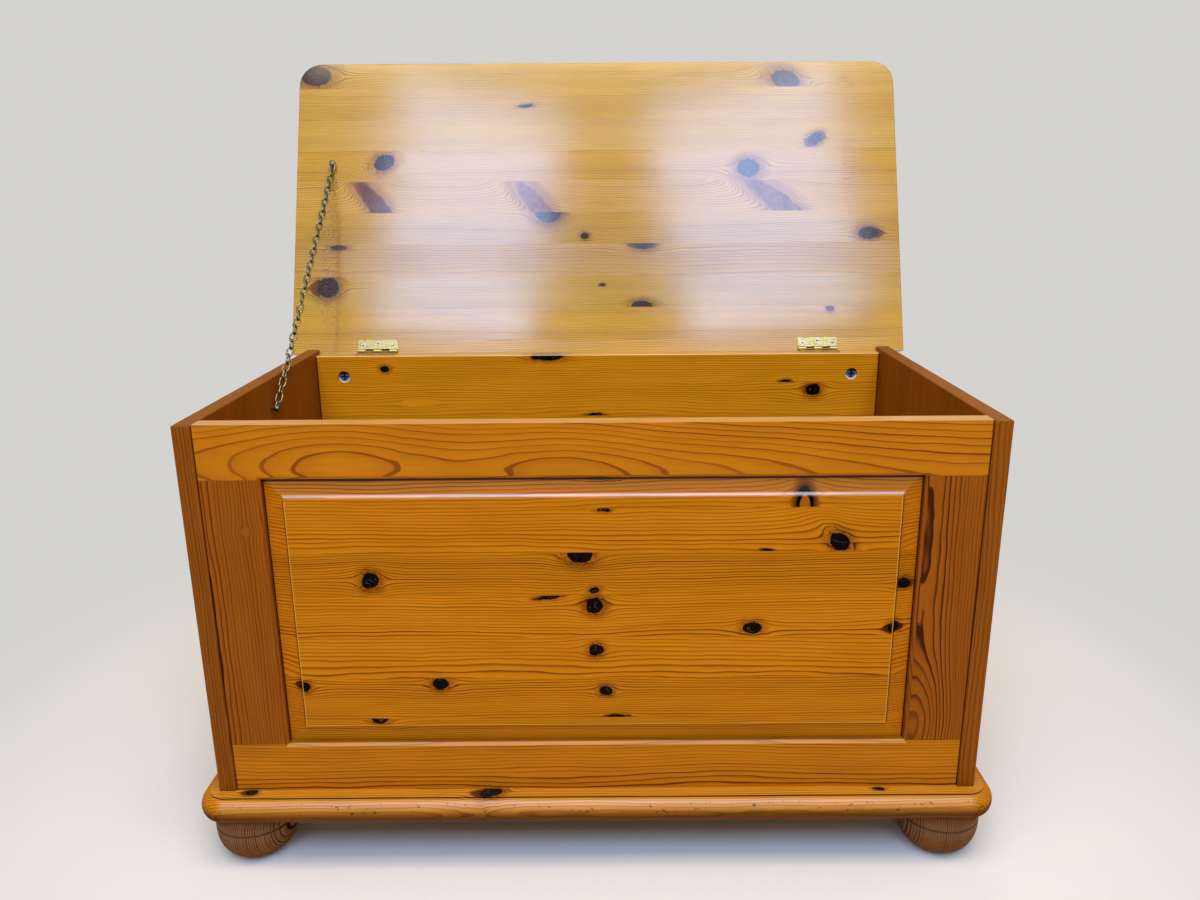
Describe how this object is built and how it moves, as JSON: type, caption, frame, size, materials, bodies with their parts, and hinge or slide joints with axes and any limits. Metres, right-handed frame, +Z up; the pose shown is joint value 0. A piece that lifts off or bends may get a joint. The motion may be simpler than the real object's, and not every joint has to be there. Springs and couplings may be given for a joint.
{
  "type": "blanket chest",
  "caption": "Pine blanket chest with a raised-panel front, moulded base board, bun feet and a hinged lid that stands open on a chain stay.",
  "frame": {"origin": "on the floor under the middle of the open chest: the chest's middle plane, halfway from the front of the base board to the rearmost edge of the open lid", "axes": "+X to the right along the front as seen from in front, +Y from the front to the back, +Z up; the lid is open and the chain is taut"},
  "size_m": [0.792, 0.5476, 0.817],
  "materials": {
    "carcass_pine": "amber lacquer, semi-gloss",
    "lid_pine": "clear lacquer, semi-gloss",
    "foot_wood": "dark stained, satin",
    "dowel_wood": "plain turned beech",
    "hinge_brass": "lightly tarnished brass",
    "hinge_screw_metal": "brass plated steel",
    "chain_metal": "worn brass plating",
    "zinc_alloy": "zinc plated",
    "plated_steel": "zinc plated"
  },
  "bodies": {
    "carcass": {"back_panel": "carcass_pine", "base_board": "carcass_pine", "base_screws": "plated_steel", "bun_foot_front_left": "foot_wood", "bun_foot_front_right": "foot_wood", "bun_foot_rear_left": "foot_wood", "bun_foot_rear_right": "foot_wood", "cam_bolts": "zinc_alloy", "cam_locks": "zinc_alloy", "chain_side_screw": "chain_metal", "foot_screws": "plated_steel", "front_bottom_rail": "carcass_pine", "front_panel": "carcass_pine", "front_stile_left": "carcass_pine", "front_stile_right": "carcass_pine", "front_top_rail": "carcass_pine", "hinge_left_back_leaf": "hinge_brass", "hinge_left_pin": "hinge_brass", "hinge_right_back_leaf": "hinge_brass", "hinge_right_pin": "hinge_brass", "hinge_screws_back": "hinge_screw_metal", "side_panel_left": "carcass_pine", "side_panel_right": "carcass_pine", "wood_dowels": "dowel_wood"},
    "lid": {"lid": "lid_pine", "hinge_left_lid_leaf": "hinge_brass", "hinge_right_lid_leaf": "hinge_brass", "hinge_screws_lid": "hinge_screw_metal", "chain_lid_screw": "chain_metal", "chain_lid_link": "chain_metal"},
    "chain_lower": {"chain_lower_links": "chain_metal"},
    "chain_upper": {"chain_upper_links": "chain_metal"}
  },
  "joints": [
    {"name": "lid_hinge", "type": "hinge", "parent": "carcass", "child": "lid", "pos_m": [0, 0.12189, 0.4536], "axis": [1, 0, 0], "range_deg": [0, 110.4]},
    {"name": "chain_side_swing", "type": "hinge", "parent": "carcass", "child": "chain_lower", "pos_m": [-0.353, -0.05931, 0.423], "axis": [1, 0, 0], "range_deg": [-134.8, 0]},
    {"name": "chain_lid_swing", "type": "hinge", "parent": "lid", "child": "chain_upper", "pos_m": [-0.348, 0.20347, 0.67958], "axis": [1, 0, 0], "range_deg": [-65.2, 0]}
  ],
  "couplings": [
    {"joint": "chain_side_swing", "follows": "lid_hinge", "ratio": -1.2166},
    {"joint": "chain_lid_swing", "follows": "lid_hinge", "ratio": -0.58619}
  ]
}
